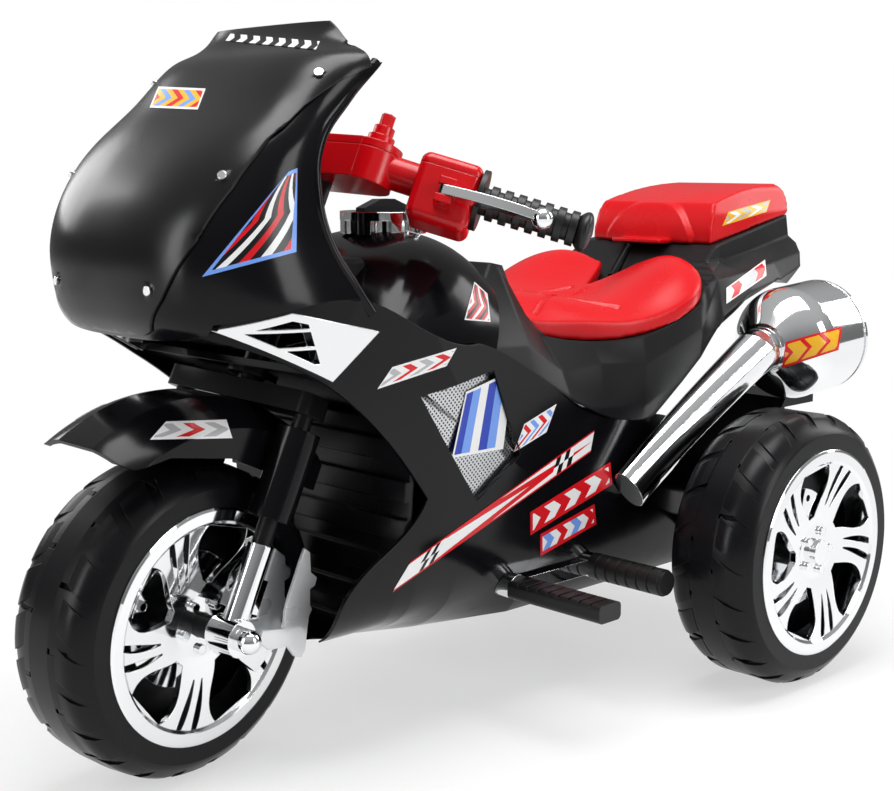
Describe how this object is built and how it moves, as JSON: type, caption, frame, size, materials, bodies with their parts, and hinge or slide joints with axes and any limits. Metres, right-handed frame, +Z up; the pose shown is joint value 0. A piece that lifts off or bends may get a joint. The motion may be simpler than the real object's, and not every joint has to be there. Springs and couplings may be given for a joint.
{
  "type": "kids electric motorbike",
  "caption": "Ride-on toy motorbike: faired black body, steered front fork and wheel, paired rear wheels, moulded seat with storage lid, chrome exhausts, foot pedal drive.",
  "frame": {"origin": "middle of the bottom of the bike's box, on the ground", "axes": "+X forward, +Y to the rider's left, +Z up"},
  "size_m": [1.0116, 0.6018, 0.6938],
  "materials": {
    "body_black": "gloss black moulded plastic",
    "nose_black": "gloss black moulded plastic",
    "smoke_screen": "clear smoked plastic",
    "chrome": "bright plated plastic",
    "mesh_silver": "silver grille",
    "trim_black": "satin black plastic",
    "tub_grey": "satin dark grey plastic",
    "seat_red": "satin red plastic",
    "bar_red": "gloss red plastic",
    "grip_black": "ribbed soft grip",
    "tyre_black": "matt black tread",
    "steel": "zinc plated steel"
  },
  "bodies": {
    "chassis": {"body_left": "body_black", "body_right": "body_black", "nose_fairing": "nose_black", "windscreen": "smoke_screen", "screen_screws": "chrome", "side_vents": "chrome", "side_mesh_panels": "mesh_silver", "arch_liner": "trim_black", "tank_cover": "body_black", "filler_ring": "chrome", "filler_handle": "trim_black", "dash_block": "trim_black", "tail_tub": "tub_grey", "seat": "seat_red", "exhaust_pipes": "chrome", "mufflers": "chrome", "muffler_end_caps": "chrome", "muffler_brackets": "trim_black", "footrest_brackets": "chrome", "front_footrest_left": "trim_black", "rear_footrests": "trim_black", "rear_axle": "steel", "rear_axle_bushes": "trim_black", "gearbox": "trim_black", "motor": "steel", "battery": "trim_black", "battery_hatch": "trim_black", "control_box": "trim_black", "switch_housing": "trim_black", "charging_socket": "trim_black", "steering_bushes": "trim_black", "lid_hinge_pin": "steel"},
    "steering": {"steering_fork": "trim_black", "fork_leg_left": "chrome", "fork_leg_right": "chrome", "brake_calipers": "chrome", "front_fender": "trim_black", "front_axle": "steel", "axle_spacers": "trim_black", "axle_cap_nuts": "chrome", "handlebar_upper": "bar_red", "handlebar_lower": "bar_red", "handlebar_bolts": "steel", "grip_left": "grip_black", "grip_right": "grip_black", "lever_pins": "steel"},
    "front_wheel_set": {"front_wheel": "tyre_black", "front_hub_cap_left": "chrome", "front_hub_cap_right": "chrome"},
    "rear_left_wheel_set": {"rear_left_wheel": "tyre_black", "rear_left_hub_cap": "chrome"},
    "rear_right_wheel_set": {"rear_right_wheel": "tyre_black", "rear_right_hub_cap": "chrome", "drive_sleeve": "trim_black"},
    "lid": {"storage_lid": "seat_red"},
    "lever_left": {"brake_lever_left": "chrome"},
    "lever_right": {"brake_lever_right": "chrome"},
    "pedal": {"accelerator_pedal": "trim_black"},
    "switch": {"drive_switch_rocker": "trim_black"}
  },
  "joints": [
    {"name": "steering", "type": "hinge", "parent": "chassis", "child": "steering", "pos_m": [0.35927, 0, 0.14648], "axis": [-0.4226, 0, 0.9063], "range_deg": [-28, 12]},
    {"name": "front_wheel_spin", "type": "hinge", "parent": "steering", "child": "front_wheel_set", "pos_m": [0.35927, 0, 0.14648], "axis": [-0.1261, 0.9903, -0.0588], "continuous": true},
    {"name": "rear_left_spin", "type": "hinge", "parent": "chassis", "child": "rear_left_wheel_set", "pos_m": [-0.26073, 0, 0.14648], "axis": [0, 1, 0], "continuous": true},
    {"name": "rear_right_spin", "type": "hinge", "parent": "chassis", "child": "rear_right_wheel_set", "pos_m": [-0.26073, 0, 0.14648], "axis": [0, 1, 0], "continuous": true},
    {"name": "lid_hinge", "type": "hinge", "parent": "chassis", "child": "lid", "pos_m": [-0.4988, 0, 0.48814], "axis": [0, -1, 0], "range_deg": [0, 80]},
    {"name": "brake_lever_left", "type": "hinge", "parent": "steering", "child": "lever_left", "pos_m": [0.1453, 0.14299, 0.52998], "axis": [-0.4226, 0, 0.9063], "range_deg": [0, 7], "stiffness_Nm_per_rad": 0.5},
    {"name": "brake_lever_right", "type": "hinge", "parent": "steering", "child": "lever_right", "pos_m": [0.18213, -0.14623, 0.54716], "axis": [0.4226, 0, -0.9063], "range_deg": [0, 7], "stiffness_Nm_per_rad": 0.5},
    {"name": "accelerator_pedal", "type": "hinge", "parent": "chassis", "child": "pedal", "pos_m": [0.03222, -0.1916, 0.13248], "axis": [0, 1, 0], "range_deg": [0, 8], "stiffness_Nm_per_rad": 1},
    {"name": "drive_switch", "type": "hinge", "parent": "chassis", "child": "switch", "pos_m": [0.00623, -0.13218, 0.28568], "axis": [0, 0, 1], "range_deg": [-10, 10]}
  ]
}
